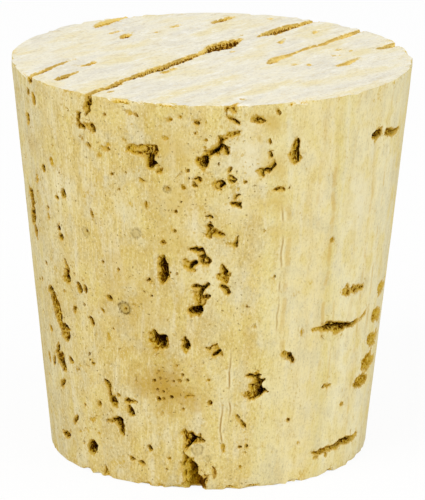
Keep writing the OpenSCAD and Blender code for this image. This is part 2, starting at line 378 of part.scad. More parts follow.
// a ragged well that narrows on its way in
module pit(azimuth, z, w, h, depth, turn, seed) {
    outline = ragged_outline(w, h, seed);
    n = pit_sides;
    mouth = 1 + (1 - pit_floor) * reach / 2 / depth;
    points = concat(
        [for (p = outline) [p[0] * mouth, -reach / 2, p[1] * mouth]],
        [for (p = outline) [p[0] * pit_floor, depth, p[1] * pit_floor]],
        [[0, -reach / 2, 0], [0, depth, 0]]);
    faces = concat(
        [for (i = [0:n - 1]) [i, (i + 1) % n, n + i]],
        [for (i = [0:n - 1]) [(i + 1) % n, n + (i + 1) % n, n + i]],
        [for (i = [0:n - 1]) [2 * n, (i + 1) % n, i]],
        [for (i = [0:n - 1]) [2 * n + 1, n + i, n + (i + 1) % n]]);
    on_side(azimuth, z) rotate([0, -turn, 0]) polyhedron(points, faces);
}

module front_pits() {
    for (i = [0:len(FRONT_PITS) - 1]) {
        p = FRONT_PITS[i];
        pit(p[0], on_length(p[1]), p[2] * lenticel_w, p[3] * lenticel_w, p[4] * pit_depth, p[5], i);
    }
}

// cuts an outline into the side, straight in
module well(azimuth, z, depth, outline) {
    on_side(azimuth, z) translate([0, depth, 0]) rotate([90, 0, 0])
        linear_extrude(depth + 2 * reach) polygon(outline);
}

module front_pores() {
    for (pore = FRONT_PORES, stroke = pore[2])
        well(pore[0], on_length(pore[1]), stroke[0] * pit_depth, stroke_outline(stroke[1], pore[1]));
}

// strings of one to four pits spread over the back, each string leaning one way
module back_pits() {
    azimuth_step = 0.618;
    height_step = 0.755;
    spread = rands(-0.07, 0.07, max(1, 2 * back_strings), 71);
    if (back_strings > 0)
        for (i = [0:back_strings - 1]) {
            azimuth = 128 + 104 * ((i * azimuth_step) % 1 + spread[2 * i]);
            z = length * (0.12 + 0.82 * ((i * height_step) % 1 + spread[2 * i + 1]));
            count = 1 + (i * 3) % 4;
            size = rands(0.5, 1.4, 2 * count, 100 + i);
            depth = rands(0.4, 1, count, 200 + i);
            lean = rands(-3.5, 3.5, count, 300 + i);
            for (k = [0:count - 1])
                pit(azimuth + k * lean[0] + lean[k] / 2, z - 0.9 * k * lenticel_w,
                    size[2 * k] * lenticel_w, size[2 * k + 1] * lenticel_w,
                    depth[k] * pit_depth, 8 * lean[k], 900 + 10 * i + k);
        }
}

// a pore cut open lengthwise, given in rows as band() takes them
module streak(azimuth, depth, rows) {
    z = rows[floor(len(rows) / 2)][1];
    rotate([0, 0, azimuth]) translate([0, depth - radius_at(z), 0]) rotate([90, 0, 0])
        linear_extrude(depth + 2 * reach) polygon(band(rows));
}

module right_streaks() {
    for (s = RIGHT_STREAKS)
        streak(s[0], s[1] * streak_depth, [for (r = s[2]) [r[0], on_length(r[1]), r[2]]]);
}

module left_streaks() {
    height_step = 0.618;
    row_gap = 1.3;
    rows = 5;
    width = rands(0.2, 0.9, rows * max(1, left_streaks), 41);
    waver = rands(-0.25, 0.25, rows * max(1, left_streaks), 42);
    if (left_streaks > 0)
        for (i = [0:left_streaks - 1]) {
            z = length * (0.08 + 0.86 * ((i * height_step + 0.2) % 1));
            streak(-74 - 32 * ((i * 0.37) % 1), streak_depth * (0.55 + 0.4 * width[i]),
                [for (k = [0:rows - 1]) let (j = i * rows + k)
                    [row_gap * (k - (rows - 1) / 2), z + waver[j], k % (rows - 1) == 0 ? 0.2 : width[j]]]);
        }
}

// a pore cut open lengthwise in an end, from rows of [y, x, width]
module groove(depth, rows) {
    mirror([1, -1, 0]) translate([0, 0, -depth]) linear_extrude(depth + reach) polygon(band(rows));
}

module wide_end_grooves() {
    translate([0, 0, length])
        for (g = WIDE_GROOVES)
            groove(g[0] * groove_depth, [for (r = g[1]) [on_wide_end(r[0]), on_wide_end(r[1]), r[2]]]);
}

module narrow_end_grooves() {
    rows = 6;
    width = rands(0.25, 1.0, rows * max(1, narrow_grooves), 61);
    waver = rands(-0.3, 0.3, rows * max(1, narrow_grooves), 62);
    mirror([0, 0, 1])
        if (narrow_grooves > 0)
            for (i = [0:narrow_grooves - 1]) {
                x = bottom_d * 0.42 * (2 * ((i * 0.618 + 0.3) % 1) - 1);
                row_gap = bottom_d * (0.04 + 0.07 * width[i]);
                start = -bottom_d * 0.42 + bottom_d * 0.5 * ((i * 0.382) % 1);
                groove(groove_depth * (0.4 + 0.4 * width[i + 1]),
                    [for (k = [0:rows - 1]) let (j = i * rows + k)
                        [start + k * row_gap, x + waver[j], k % (rows - 1) == 0 ? 0.2 : width[j]]]);
            }
}

module chip() {
    well(CHIP_AZIMUTH, 0, chip_ledge * chip_depth, CHIP_OUTLINE);
    well(CHIP_AZIMUTH, 0, chip_depth, CHIP_HEART);
}

module stopper() {
    color(cork) difference() {
        blank();
        front_pits();
        front_pores();
        back_pits();
        right_streaks();
        left_streaks();
        wide_end_grooves();
        narrow_end_grooves();
        chip();
    }
}

stopper();
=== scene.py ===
"""The cork stopper, dressed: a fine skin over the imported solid, with ragged pores, worn rims and
the growth rings of the bark. Lengths are in millimetres until a mesh or a lamp is placed in metres.

Azimuths go round from the front (-Y, 0 degrees) through +X (90) to the back (180). Growth rings
are layers of constant Y, and the pores run along Y.
"""

import math

import bpy
import numpy as np
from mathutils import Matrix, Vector
from mathutils.bvhtree import BVHTree


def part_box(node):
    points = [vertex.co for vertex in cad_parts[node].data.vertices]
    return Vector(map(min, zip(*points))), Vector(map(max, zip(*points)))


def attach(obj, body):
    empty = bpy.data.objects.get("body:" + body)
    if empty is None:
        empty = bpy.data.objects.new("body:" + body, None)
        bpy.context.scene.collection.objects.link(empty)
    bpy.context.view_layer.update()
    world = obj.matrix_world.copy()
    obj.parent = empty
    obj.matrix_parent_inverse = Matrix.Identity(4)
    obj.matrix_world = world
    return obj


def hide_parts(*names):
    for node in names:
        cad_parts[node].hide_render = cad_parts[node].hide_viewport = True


NODE = "stopper"
MM = 0.001

# skin
RIM_POINTS = 300          # grid squares along a quarter of each rim
ROW_GAP = 0.1             # height of a row of the side, and so about the size of a grid square
CORE_INSET = 2.5          # near a rim, pores are measured towards a ring this far inside it
MAX_DEPTH = 2.3
RAY_START = 0.5           # how far outside the bare frustum the measuring starts
FOOT_BAND = 1.0           # the side's slope is measured from this height to the top
# (shift, wavelength, seed) of the waves that make pores ragged
WARP = ((0.15, 0.95, 11), (0.12, 0.45, 12), (0.07, 0.22, 13))
END_WARP = 0.5            # share of those shifts on the ends
SOLID_MOUTH = (0.04, 0.2)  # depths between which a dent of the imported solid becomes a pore
SKIN_MOUTH = (0.05, 0.2)  # the same for the finished skin
TURN = np.array(((0.36, 0.48, -0.8), (-0.8, 0.6, 0.0), (0.48, 0.64, 0.6)))   # turned axes
LEAN = 0.7                # share of the full slant of a pore that runs along Y
TRIANGLES = 190000
KEEP_FACTOR = 0.06        # how strongly the triangles of pores are kept when the mesh is thinned
FLAT_STEPS = 4            # grades of flatness that are told apart
SHARP_ANGLE = math.radians(38)

# tints of the years, from the dull ones on the left to the chalky ones about +X. The paling towards +X is
# partly the years' own tone and partly painted light, as if light fell from that side.
BACK = (225, 210, 155)
DULL = (215, 200, 150)
HONEY = (220, 195, 120)
OCHRE = (215, 190, 110)
STRAW = (225, 205, 135)
CREAM = (230, 215, 150)
MILKY = (235, 220, 165)
CHALK = (240, 230, 185)
FADED = (225, 215, 175)
# the years' bands around the side: (azimuth, tint)
AROUND = ((-180, BACK), (-80, BACK), (-48, DULL), (-30, DULL), (-8, HONEY), (8, HONEY), (24, OCHRE),
          (33, HONEY), (38, STRAW), (46, STRAW), (50, HONEY), (54, CREAM), (66, MILKY), (73, MILKY),
          (77, CREAM), (84, CHALK), (88, CHALK), (94, MILKY), (98, CHALK), (112, FADED),
          (130, BACK), (180, BACK))
# patches of another colour: (azimuth, height, size, strength, colour)
BROWN, PALE, YELLOW = (188, 148, 46), (236, 226, 188), (212, 182, 96)
PATCHES = ((47.5, 33.3, 2.5, 0.9, PALE), (44, 28, 2.0, 0.5, PALE), (86, 27, 3.0, 0.6, PALE),
           (37, 22, 3.0, 0.35, PALE),
           (26, 33.5, 2.2, 0.6, YELLOW), (26, 29, 2.2, 0.5, YELLOW), (25, 25, 2.0, 0.35, YELLOW),
           (8, 21.5, 2.5, 0.4, YELLOW), (54, 36, 1.3, 0.7, YELLOW),
           (54.5, 32, 1.4, 0.8, YELLOW), (61.3, 32.8, 0.9, 0.8, YELLOW),
           (55.5, 28.5, 1.3, 0.7, YELLOW), (56.5, 25.5, 1.2, 0.7, YELLOW),
           (14, 17, 4.5, 0.25, BROWN), (22, 10.4, 3.4, 0.8, BROWN), (31, 9.3, 1.6, 0.4, BROWN),
           (-29, 31, 1.8, 0.4, BROWN))
# faint rings of pores that have closed: (azimuth, height, radius, strength)
RINGS = ((9, 17.7, 0.6, 1.0), (14, 25.2, 0.45, 0.5), (33, 4.1, 0.45, 0.45), (-4, 24.5, 0.45, 0.4),
         (24, 29.8, 0.3, 0.5), (36.5, 3.2, 0.3, 0.4))
RING_FILL, RING_EDGE = (184, 158, 80), (122, 96, 36)
NEAR_AROUND, NEAR_UP = 6, 1.5    # no small pore reaches further than this, in degrees and in mm
# small shallow pores of the side: (azimuth, height, radius, depth)
DOTS = ((5.5, 36.4, 0.2, 0.3), (6, 33.1, 0.22, 0.3), (-8, 36.2, 0.13, 0.2), (2, 30.2, 0.12, 0.25),
        (7, 30.7, 0.14, 0.25), (11.5, 31, 0.14, 0.2), (9, 29.3, 0.14, 0.2), (-14, 29.6, 0.12, 0.25),
        (-3, 28.7, 0.12, 0.2), (-3.5, 24.6, 0.16, 0.5), (2, 21.9, 0.14, 0.3), (2, 22.9, 0.12, 0.2),
        (7.5, 21.4, 0.17, 0.3), (-32, 17.8, 0.22, 0.25), (-10.5, 19.9, 0.14, 0.25), (-16.5, 17.8, 0.15, 0.25),
        (-12, 16.2, 0.25, 0.45), (-7, 17.1, 0.13, 0.25), (-10.5, 6.8, 0.15, 0.25), (5, 8.8, 0.2, 0.25),
        (4.5, 15.4, 0.13, 0.2), (6.5, 13.5, 0.17, 0.14), (12, 37.1, 0.13, 0.2), (25, 36.6, 0.25, 0.25),
        (32, 35.3, 0.14, 0.3), (35, 34.7, 0.2, 0.2), (24, 29.8, 0.22, 0.15), (30, 31.7, 0.17, 0.35),
        (26.5, 27.7, 0.14, 0.4), (22.5, 24.6, 0.22, 0.35), (26, 25.8, 0.14, 0.3), (24.5, 21.7, 0.14, 0.3),
        (26.5, 21.6, 0.13, 0.25), (12.5, 18.1, 0.22, 0.15), (48, 18.4, 0.12, 0.2), (50.5, 16.4, 0.25, 0.14),
        (56.5, 21.2, 0.12, 0.3), (76.5, 24, 0.25, 0.22), (36.5, 11.2, 0.16, 0.2), (37, 8.9, 0.2, 0.4),
        (49.5, 4.4, 0.15, 0.3), (49, 3.7, 0.17, 0.15), (47.5, 2.3, 0.14, 0.15), (22, 1.9, 0.14, 0.3),
        # in the strongest ring, and then in the stain
        (9.4, 17.6, 0.13, 0.3), (7.9, 17.9, 0.1, 0.2), (10.2, 17.2, 0.1, 0.25),
        (18.5, 10.8, 0.2, 0.35), (20.5, 11.1, 0.14, 0.2), (20, 11.8, 0.15, 0.2), (28, 11.6, 0.14, 0.35),
        (25, 10.9, 0.15, 0.3), (27, 11, 0.17, 0.3), (29.5, 11.1, 0.17, 0.4), (17, 9.8, 0.14, 0.3),
        (19.5, 10, 0.14, 0.3), (21.5, 9.8, 0.16, 0.35), (20, 9, 0.22, 0.4), (21.5, 9.1, 0.17, 0.3),
        (24, 9.3, 0.2, 0.4), (28, 8.2, 0.14, 0.2), (26, 7.6, 0.14, 0.18), (26, 12.5, 0.14, 0.18))
# longer ones: (azimuth, height, half width, half height, lean to the left in degrees, depth)
SLITS = ((-28, 36.4, 0.3, 0.3, 0, 0.6), (-24.5, 35.9, 0.25, 0.6, 15, 0.35), (-30, 33.6, 0.35, 0.45, 10, 0.7),
         (-33.5, 22.3, 0.4, 0.7, 10, 0.4), (-22.5, 29.4, 0.25, 0.35, 0, 0.6),
         (46.5, 7.4, 0.13, 0.35, 35, 0.35), (48.2, 6.6, 0.14, 0.5, 30, 0.45),
         (-0.5, 33.1, 0.15, 0.3, 35, 0.5), (-3, 33.7, 0.14, 0.35, 25, 0.22),
         (-17.5, 30.5, 0.3, 0.5, 0, 0.18), (-22, 24.7, 0.15, 0.4, 10, 0.2), (-1, 26.4, 0.14, 0.6, 20, 0.32),
         (-33, 9.9, 0.25, 0.6, 10, 0.3), (-28, 10, 0.2, 0.35, 0, 0.4), (-23, 8, 0.35, 0.4, -20, 0.35),
         (2.5, 14.5, 0.2, 0.6, 10, 0.14), (15.5, 36.7, 0.17, 0.3, 30, 0.35),
         (13.5, 36.9, 0.4, 0.25, 0, 0.15), (28.5, 30.1, 0.2, 0.35, 30, 0.25),
         (17.5, 28.1, 0.12, 0.4, 0, 0.22), (29.5, 9.5, 0.3, 0.12, 0, 0.25), (31, 9.5, 0.25, 0.12, 0, 0.2),
         (21, 7.6, 0.15, 0.3, 0, 0.15), (41.5, 4.3, 0.14, 0.45, 0, 0.22), (55, 37.3, 0.17, 0.4, 35, 0.4),
         (53, 34.4, 0.12, 0.35, 0, 0.3), (64.4, 12.7, 0.2, 0.4, 15, 0.5), (61.6, 13.4, 0.3, 0.25, 0, 0.3),
         (64.5, 6.6, 0.2, 0.14, -30, 0.3), (78.6, 9.3, 0.3, 0.14, 30, 0.5), (89, 6.8, 0.3, 0.15, 0, 0.2),
         (67.5, 15.2, 0.15, 0.6, 0, 0.15), (69.5, 4, 0.2, 0.25, 0, 0.15))
# shallow crumbs missing from the wide end: (x, y, half width, half length, depth)
END_MARKS = ((-10.5, 8.2, 0.25, 1.0, 0.18), (-10.3, 4.9, 0.15, 0.4, 0.2), (-13.5, 2.3, 0.2, 1.3, 0.18),
             (0.2, -7.6, 0.16, 0.9, 0.24), (0, -5.8, 0.16, 0.6, 0.18), (0.2, 3, 0.2, 0.35, 0.25),
             (-3.2, 9, 0.15, 0.2, 0.3), (1, -16.8, 0.15, 0.6, 0.18), (7.6, 10.2, 0.2, 0.6, 0.18),
             (8.8, 10.3, 0.16, 0.3, 0.18), (8.7, 8, 0.2, 0.7, 0.2), (9, 3.3, 0.16, 0.5, 0.3),
             (7.9, 2.5, 0.16, 0.5, 0.18), (-5.3, 16.6, 0.25, 0.5, 0.18), (11.9, -11.5, 0.2, 0.25, 0.3))
# tissue left in a pore: (azimuth, height, radius, share of the depth that it fills)
BRIDGES = ((96.6, 33.2, 0.6, 0.9), (100.6, 33.5, 0.45, 0.8), (81.5, 18.3, 1.8, 0.35),
           (9, 17.8, 0.9, 0.65))
# edges of years that show as lines: (azimuth, lowest, highest, half width in degrees, strength).
# Those narrower than NARROW are drawn as a thread with a painted highlight beside it.
YEAR_LINES = ((58.5, 14, 30, 0.25, 0.7), (43.5, 6, 15, 0.25, 0.9), (60.5, 12, 31, 1.0, 0.5),
              (41, 0, 10, 0.25, 0.9), (70, 22, 38, 0.8, 0.3), (75.5, 10, 33, 0.9, 0.6), (80, 4, 20, 0.5, 0.4),
              (-16, 5, 33, 0.3, 0.2), (93, 3, 30, 0.8, 0.5), (100, 12, 38, 0.6, 0.5))
NARROW = 0.5
# the last colour is a painted highlight along the narrow threads
THREAD, YEAR_EDGE, THREAD_HIGHLIGHT = (172, 134, 58), (210, 176, 92), (240, 228, 180)
# crumbs in the skin: (cells in a millimetre, largest size in mm, colour, strength, how much
# more of them there are in the brown patches). The last kind is rare outside those patches.
SPECKS = ((3.0, 0.09, (140, 112, 44), 0.75, 0.1), (2.3, 0.15, (200, 168, 82), 0.6, 0.2),
          (2.6, 0.11, (134, 94, 28), 0.6, 1.6))
# colours of the side, each laid over the years' bands in noisy patches
YELLOWED, GREYED = (226, 205, 120), (214, 204, 164)
MOTTLE_DARK, MOTTLE_PALE = (206, 178, 98), (238, 226, 176)
STREAK_DARK, STREAK_PALE = (216, 190, 120), (242, 236, 208)
SCRATCH_DARK, SCRATCH_PALE = (198, 172, 100), (238, 222, 166)
GRAIN_PALE = (240, 228, 182)
GRAIN_SHADE = (0.62, 0.6, 0.66, 1.0)   # what the grain's dark crumbs are multiplied by
# colours of the ends
END_PLAIN, END_CLOUD, END_GREY = (242, 236, 214), (238, 223, 168), (230, 224, 206)
END_DARK, END_PALE, END_GRAIN = (224, 211, 176), (252, 249, 236), (252, 248, 236)
# pores: the colours of their lips, and of their insides by depth, as shares of PORE_REACH. The darkening with
# depth is partly the pores' brown tissue and partly painted shade.
LIP, LIP_OF_END = (208, 172, 76), (230, 200, 108)
PORE_REACH = 1.6
INSIDE = ((0.0, (216, 188, 90)), (0.16, (202, 166, 40)), (0.31, (172, 127, 4)), (0.5, (122, 76, 0)),
          (0.74, (62, 28, 0)))
# the ends' pores start paler than the side's, partly as painted light from above falling into them
INSIDE_ENDS = ((0.0, (246, 230, 160)), (0.11, (240, 210, 114)), (0.19, (218, 172, 54)),
               (0.26, (166, 116, 10)), (0.35, (92, 52, 0)))
# painted light and shade: the open chip is drawn lighter inside than its depth gives, and its right half
# darker
CHIP = (31.5, 1.2, 2.8)   # azimuth, height and size of the chip, which lies open and so is light inside
FADE = (97, 105)          # between these azimuths pores turn lighter, as if they were half as deep

# stage: lengths in metres and lamps in watts
FLOOR_HALF = 3.0
FLOOR_GREY = 0.9
FLOOR_GLOW = 0.92         # share of plain white in the floor as the camera sees it
AMBIENT = 0.8
# (name, azimuth from the camera, elevation, distance, size, power)
LAMPS = (("key", -40, 50, 0.9, 0.5, 3.0), ("fill", 60, 35, 1.0, 0.8, 2.6))

# camera, in degrees and millimetres
CAMERA_AZIMUTH = 36.6
CAMERA_ELEVATION = 16.2
CAMERA_DISTANCE = 380.0
CAMERA_ROLL = 0.56
FOCAL_IN_WIDTHS = 9.334   # focal length as a number of picture widths
SENSOR = 36.0
SIGHT_LIMIT = 10          # metres
AIM_RIGHT = 0.23          # the stopper's axis stands this far left of the picture's middle
AIM_UP = -0.03


def srgb(red, green, blue):
    """A colour given as it shows on a screen, 0 to 255, as linear RGBA."""
    def linear(v):
        v /= 255
        return v / 12.92 if v <= 0.04045 else ((v + 0.055) / 1.055) ** 2.4
    return (linear(red), linear(green), linear(blue), 1.0)


# ---------------------------------------------------------------- noise on points

def lattice(ix, iy, iz, seed):
    """A fixed random number from -1 to 1 for each whole-number place."""
    h = (ix.astype(np.uint32) * np.uint32(374761393) + iy.astype(np.uint32) * np.uint32(668265263)
         + iz.astype(np.uint32) * np.uint32(2147483647) + np.uint32(seed * 974711 + 12345))
    h = (h ^ (h >> np.uint32(13))) * np.uint32(1274126177)
    h = (h ^ (h >> np.uint32(16))) * np.uint32(2246822519)
    h ^= h >> np.uint32(15)
    return h.astype(np.float64) / 2147483648.0 - 1.0


def noise(points, wavelength, seed):
    """Smooth noise from -1 to 1. A wavelength is one length or one for each axis."""
    q = points / np.asarray(wavelength, float)
    cell = np.floor(q)
    f = q - cell
    f = f * f * f * (f * (f * 6 - 15) + 10)
    ix, iy, iz = (cell[:, k].astype(np.int64) for k in range(3))
    out = np.zeros(len(points))
    for dx in (0, 1):
        for dy in (0, 1):
            for dz in (0, 1):
                weight = ((f[:, 0] if dx else 1 - f[:, 0]) * (f[:, 1] if dy else 1 - f[:, 1])
                          * (f[:, 2] if dz else 1 - f[:, 2]))
                out += weight * lattice(ix + dx, iy + dy, iz + dz, seed)
    return out


def fractal(points, wavelength, seed, octaves=3):
    """Noise with finer and weaker octaves added, about -1 to 1."""
    total = sum(noise(points, np.asarray(wavelength, float) / 2 ** k, seed + 31 * k) / 2 ** k
                for k in range(octaves))
    return total / (2 - 0.5 ** (octaves - 1))


def ease(x, low, high):
    """0 below low, 1 above high and smooth between."""
    t = np.clip((x - low) / (high - low), 0, 1)
    return t * t * (3 - 2 * t)


# ---------------------------------------------------------------- the nominal frustum

class Frustum:
    """The stopper without pores: straight sides and flat ends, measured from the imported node."""

    def __init__(self, node):
        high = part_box(NODE)[1]
        co = np.array([v.co for v in node.data.vertices]) / MM
        rho = np.hypot(co[:, 0], co[:, 1])
        self.length = high.z / MM
        self.r_top = rho.max()
        near_foot = co[:, 2] < FOOT_BAND
        taper = (self.r_top - rho[near_foot].max()) / (self.length - FOOT_BAND)
        foot = rho[near_foot] - taper * co[near_foot, 2]
        self.r_foot = foot.max()

    def radius(self, z):
        """Radius of the side at a height."""
        return self.r_foot + (self.r_top - self.r_foot) * z / self.length

    def side_place(self, azimuth, z):
        """The point of the side at an azimuth and a height."""
        a = math.radians(azimuth)
        r = self.radius(z)
        return (r * math.sin(a), -r * math.cos(a), z)

    def core(self, rho, z, on_side):
        """The point of the half plane that a pore at (rho, z) is measured towards."""
        top_z, foot_z = self.length - CORE_INSET, CORE_INSET
        side_z = np.clip(z, foot_z, top_z)
        side_rho = self.radius(side_z) - CORE_INSET
        return np.where(on_side, side_rho, np.minimum(rho, side_rho)), side_z


# ---------------------------------------------------------------- the skin

def skin_grid(body):
    """Points of the bare frustum, which of them are on the side, and the quads between them."""
    n = RIM_POINTS
    around = 4 * n
    rows = round(body.length / ROW_GAP)
    phi = -math.pi / 4 + 2 * math.pi * np.arange(around) / around
    z = np.linspace(0, body.length, rows + 1)
    r = body.radius(z)[:, None]
    height = np.broadcast_to(z[:, None], (rows + 1, around))
    side = np.stack([r * np.cos(phi), r * np.sin(phi), height], -1).reshape(-1, 3)
    i, j = np.meshgrid(np.arange(around), np.arange(rows))
    a, b = j * around + i, j * around + (i + 1) % around
    quads = [np.stack([a, b, b + around, a + around], -1).reshape(-1, 4)]
    points, on_side = [side], [np.ones(len(side), bool)]
    for z_end, radius, ring in ((0.0, body.r_foot, 0), (body.length, body.r_top, rows * around)):
        disc, ids = end_grid(n, radius, z_end, ring, sum(len(p) for p in points))
        points.append(disc)
        on_side.append(np.zeros(len(disc), bool))
        p, q = np.meshgrid(np.arange(n), np.arange(n), indexing="ij")
        square = [ids[p, q], ids[p + 1, q], ids[p + 1, q + 1], ids[p, q + 1]]
        if ring == 0:
            square.reverse()
        quads.append(np.stack(square, -1).reshape(-1, 4))
    return np.concatenate(points), np.concatenate(on_side), np.concatenate(quads)


def end_grid(n, radius, z, ring, first):
    """A square grid bent into a disc. Its edge uses the rim's points, numbered from ring."""
    step = np.linspace(-1, 1, n + 1)
    a, b = np.meshgrid(step, step, indexing="ij")
    wide = np.abs(a) > np.abs(b)
    safe_a, safe_b = np.where(a == 0, 1, a), np.where(b == 0, 1, b)
    rho = np.where(wide, a, b)
    phi = np.where(wide, math.pi / 4 * b / safe_a, math.pi / 2 - math.pi / 4 * a / safe_b)
    x, y = radius * rho * np.cos(phi), radius * rho * np.sin(phi)
    ids = np.zeros((n + 1, n + 1), int)
    k = np.arange(n)
    ids[n, k] = ring + k
    ids[n - k, n] = ring + n + k
    ids[0, n - k] = ring + 2 * n + k
    ids[k, 0] = ring + 3 * n + k
    inside = np.s_[1:n, 1:n]
    ids[inside] = first + np.arange((n - 1) ** 2).reshape(n - 1, n - 1)
    disc = np.stack([x[inside], y[inside], np.full((n - 1, n - 1), z)], -1).reshape(-1, 3)
    return disc, ids


def slide(body, points, on_side, shift):
    """Points moved along the surface that they are on, by a vector each."""
    out = points + shift
    new_rho = np.hypot(out[:, 0], out[:, 1])
    z_side = np.clip(out[:, 2], 0, body.length)
    r_side = body.radius(z_side)
    r_end = np.minimum(new_rho, body.radius(points[:, 2]))
    shrink = np.where(on_side, r_side, r_end) / np.maximum(new_rho, 1e-9)
    out[:, 0] *= shrink
    out[:, 1] *= shrink
    out[:, 2] = np.where(on_side, z_side, points[:, 2])
    return out


def inward(body, points, on_side):
    """Unit vectors into the cork, and how far each may go."""
    rho = np.maximum(np.hypot(points[:, 0], points[:, 1]), 1e-9)
    core_rho, core_z = body.core(rho, points[:, 2], on_side)
    target = np.stack([points[:, 0] * core_rho / rho, points[:, 1] * core_rho / rho, core_z], -1)
    way = target - points
    far = np.linalg.norm(way, axis=1)
    return way / far[:, None], np.minimum(0.9 * far, MAX_DEPTH)


def solid_depth(body, node, points, on_side):
    """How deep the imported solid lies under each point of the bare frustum."""
    mesh = node.data
    tree = BVHTree.FromPolygons([v.co / MM for v in mesh.vertices],
                                [p.vertices for p in mesh.polygons], epsilon=0.0)
    way, limit = inward(body, points, on_side)
    starts = points - way * RAY_START
    depth = np.empty(len(points))
    for i, (start, direction) in enumerate(zip(starts.tolist(), way.tolist())):
        hit = tree.ray_cast(start, direction)[3]
        depth[i] = MAX_DEPTH if hit is None else hit - RAY_START
    return np.clip(depth, 0, limit)


class Neighbours:
    """The grid's edges, to blur values over the surface."""

    def __init__(self, quads, count):
        self.pairs = np.concatenate([quads[:, [0, 1]], quads[:, [1, 2]]])
        self.size = count
        self.count = (np.bincount(self.pairs[:, 0], minlength=count)
                      + np.bincount(self.pairs[:, 1], minlength=count))

    def blur(self, values, radius):
        """Values blurred by about that radius in millimetres."""
        first, second = self.pairs.T
        for _ in range(round((2 * radius / ROW_GAP) ** 2)):
            total = (np.bincount(first, values[second], self.size)
                     + np.bincount(second, values[first], self.size))
            values = 0.5 * values + 0.5 * total / self.count
        return values


def ragged_pores(depth, points, on_side, grid):
    """The solid's pores with crumbs and plugs of dry tissue in them, and smaller bites around them."""
    narrowed = depth * ease(grid.blur(ease(depth, *SOLID_MOUTH), 0.2), 0.5, 0.9)
    softened = 0.45 * depth + 0.55 * grid.blur(depth, 0.1)
    depth = np.where(on_side, softened, 0.15 * depth + 0.85 * narrowed)
    mouth = ease(depth, *SOLID_MOUTH)
    inner = grid.blur(mouth, 0.2)
    near = grid.blur(mouth, 0.5)
    crumbs = fractal(points, 0.4, 21)
    shallow = 1 - ease(depth, 0.7, 1.35)
    plug = ease(inner + 0.35 * fractal(points, 1.0, 22), 0.65, 1.0) * shallow
    flank = (1 - across_pores(points)) * on_side
    plug = np.maximum(plug, 0.8 * flank * ease(fractal(points, 0.7, 24), -0.15, 0.3))
    depth = depth * (1 + np.where(on_side, 0.6, 0.15) * crumbs * mouth) * (1 - 0.55 * plug)
    bites = ease(fractal(points, 0.5, 23) + 1.1 * near, 0.5, 0.8) * (0.12 + 0.5 * near)
    bites *= np.where(on_side, 1.0, 0.35)
    return np.maximum(depth, bites * ease(near, 0.02, 0.1))


def lean(points, on_side, to_rim):
    """How far along the side a pore goes for each millimetre in, as it runs along Y."""
    rho = np.maximum(np.hypot(points[:, 0], points[:, 1]), 1e-9)
    x, y = points[:, 0] / rho, points[:, 1] / rho
    forward = np.abs(y).clip(0.45)
    slant = np.stack([x * np.abs(y), -np.sign(y) * x * x, 0 * x], -1) / forward[:, None]
    share = LEAN * ease(np.abs(y), 0.3, 0.6) * (0.5 + 0.5 * ease(to_rim, 0.0, 1.0)) * on_side
    return slant * share[:, None]


def across_pores(points):
    """1 on the front and the back, where the pores are cut across, and 0 beside them."""
    return ease(np.abs(points[:, 1]) / np.hypot(points[:, 0], points[:, 1]).clip(1), 0.35, 0.6)


def small_pores(body, points, on_side):
    """The small pores of the side and the marks of the wide end, as depths."""
    depth = np.zeros(len(points))
    azimuth = np.degrees(np.arctan2(points[:, 0], -points[:, 1]))
    rough = 0.35 * noise(points, 0.3, 81)
    upright = [(azimuth, height, radius, radius, 0, deep) for azimuth, height, radius, deep in DOTS]
    for place, height, half_width, half_height, leaning, deep in upright + list(SLITS):
        close = (np.abs(azimuth - place) < NEAR_AROUND) & (np.abs(points[:, 2] - height) < NEAR_UP)
        near = np.nonzero(on_side & close)[0]
        u = np.radians(azimuth[near] - place) * body.radius(height)
        v = points[near, 2] - height
        c, s = math.cos(math.radians(leaning)), math.sin(math.radians(leaning))
        off = np.hypot((u * c + v * s) / half_width, (v * c - u * s) / half_height) + rough[near]
        depth[near] = np.maximum(depth[near], deep * (1 - ease(off, 0.6, 1.15)))
    wide_end = ~on_side & (points[:, 2] > body.length / 2)
    for x, y, half_width, half_length, deep in END_MARKS:
        off = np.hypot((points[:, 0] - x) / half_width, (points[:, 1] - y) / half_length) + 1.4 * rough
        depth = np.maximum(depth, wide_end * deep * (1 - ease(off, 0.6, 1.15)))
    return depth


def scattered_marks(points, on_side):
    """Shallow crumbs missing from the skin, in loose clusters."""
    turned = points @ TURN
    clusters = noise(turned, 4.5, 41)
    marks = fractal(turned, 0.6, 42)
    dots = fractal(turned, 0.4, 45)
    busy = np.where(on_side, across_pores(points), 0.3)
    return busy * (0.15 * ease(marks + 0.3 * clusters, 0.62, 0.8)
                   + 0.45 * ease(dots + 0.35 * clusters, 0.85, 1.0))


def bridged(body, points, depth):
    """Depths with the tissue that is left in some pores."""
    for azimuth, height, radius, filled in BRIDGES:
        away = np.linalg.norm(points - body.side_place(azimuth, height), axis=1)
        depth = depth * (1 - filled * (1 - ease(away, 0.5 * radius, radius)))
    return depth


def worn(points, to_rim, depth):
    """Depths with wear and low swells of the skin added, and how golden the rims are."""
    wear = ease(fractal(points, 1.1, 51), 0.0, 0.6) * (1 - ease(to_rim, 0.1, 0.6))
    crumbled = ease(fractal(points, 0.5, 53), 0.0, 0.5) * (1 - ease(to_rim, 0.05, 0.4))
    swell = 0.02 * (1 + fractal(points, (3, 3, 9), 61)) + 0.015 * (1 + fractal(points, 0.5, 71))
    rim = (1 - ease(to_rim, 0.05, 0.45)) * ease(fractal(points, 1.2, 52), 0.0, 0.5)
    return depth + 0.28 * wear + 0.1 * crumbled + swell, 0.27 * np.maximum(wear, rim)


